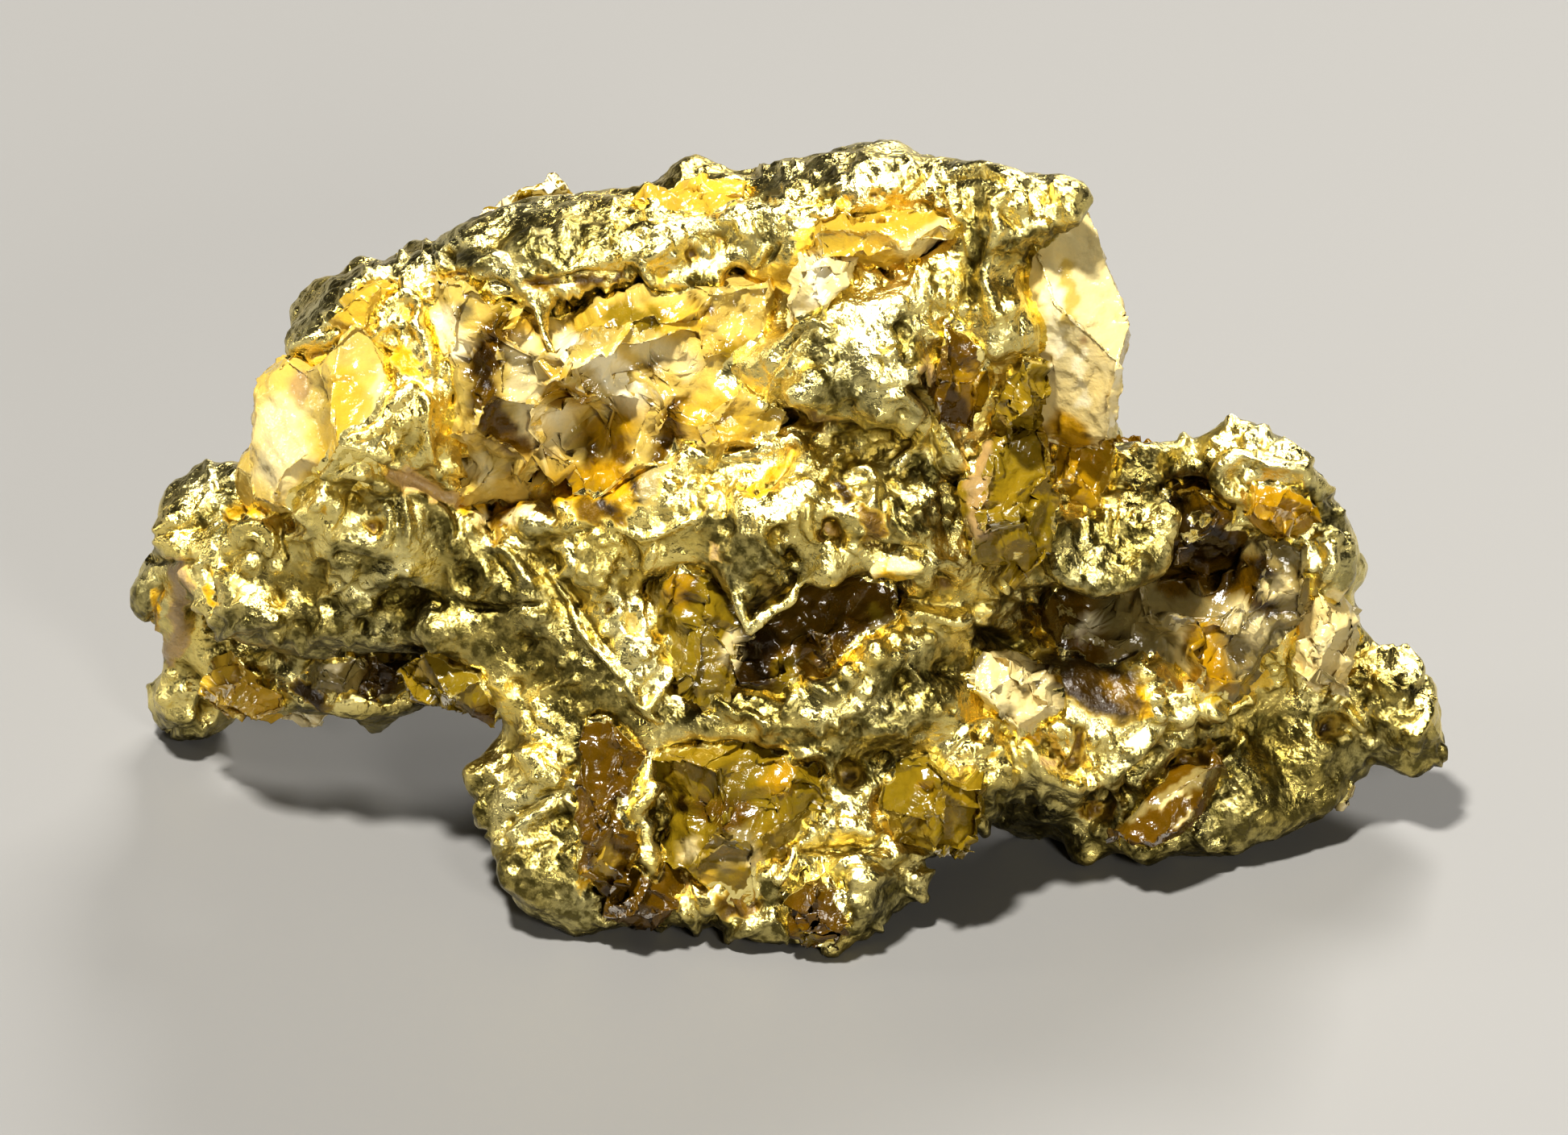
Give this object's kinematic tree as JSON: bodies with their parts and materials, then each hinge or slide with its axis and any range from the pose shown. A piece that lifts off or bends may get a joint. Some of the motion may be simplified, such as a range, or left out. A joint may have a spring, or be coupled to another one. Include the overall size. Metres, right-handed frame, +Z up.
{
  "type": "gold nugget",
  "caption": "Water-worn gold nugget with clear and amber quartz in its hollows, lying on its rounded feet.",
  "frame": {"origin": "middle of the bounding box's base, on the surface that the nugget lies on", "axes": "+X along the nugget's length, to the right as seen from the front; +Y to its back; +Z up"},
  "size_m": [0.0164, 0.0074, 0.0094],
  "materials": {
    "gold": "satin",
    "amber_quartz": "gloss",
    "clear_quartz": "gloss"
  },
  "bodies": {
    "root": {"gold_nugget": "gold", "quartz_block": "clear_quartz", "quartz_brow": "amber_quartz", "quartz_crown_hollow": "clear_quartz", "quartz_crown_patch": "clear_quartz", "quartz_crown_strip": "amber_quartz", "quartz_drop": "clear_quartz", "quartz_front_chip": "amber_quartz", "quartz_front_hollow": "amber_quartz", "quartz_front_slot": "amber_quartz", "quartz_heart": "amber_quartz", "quartz_layer": "clear_quartz", "quartz_left_bead": "amber_quartz", "quartz_left_cap": "clear_quartz", "quartz_left_chip": "clear_quartz", "quartz_left_wedge": "amber_quartz", "quartz_pillar": "clear_quartz", "quartz_rear_01": "amber_quartz", "quartz_rear_02": "clear_quartz", "quartz_rear_03": "amber_quartz", "quartz_rear_04": "clear_quartz", "quartz_rear_05": "amber_quartz", "quartz_rear_06": "clear_quartz", "quartz_rear_07": "amber_quartz", "quartz_rear_08": "clear_quartz", "quartz_rear_09": "amber_quartz", "quartz_rear_10": "clear_quartz", "quartz_rear_11": "amber_quartz", "quartz_right_column": "clear_quartz", "quartz_right_eye": "amber_quartz", "quartz_right_hollow": "amber_quartz", "quartz_right_upper": "amber_quartz", "quartz_slot": "amber_quartz", "quartz_splinter": "clear_quartz", "quartz_tall_pair": "amber_quartz", "quartz_toe_left": "amber_quartz", "quartz_toe_right": "amber_quartz", "quartz_underside": "amber_quartz", "quartz_white_chip": "clear_quartz", "quartz_window": "clear_quartz"}
  },
  "joints": []
}
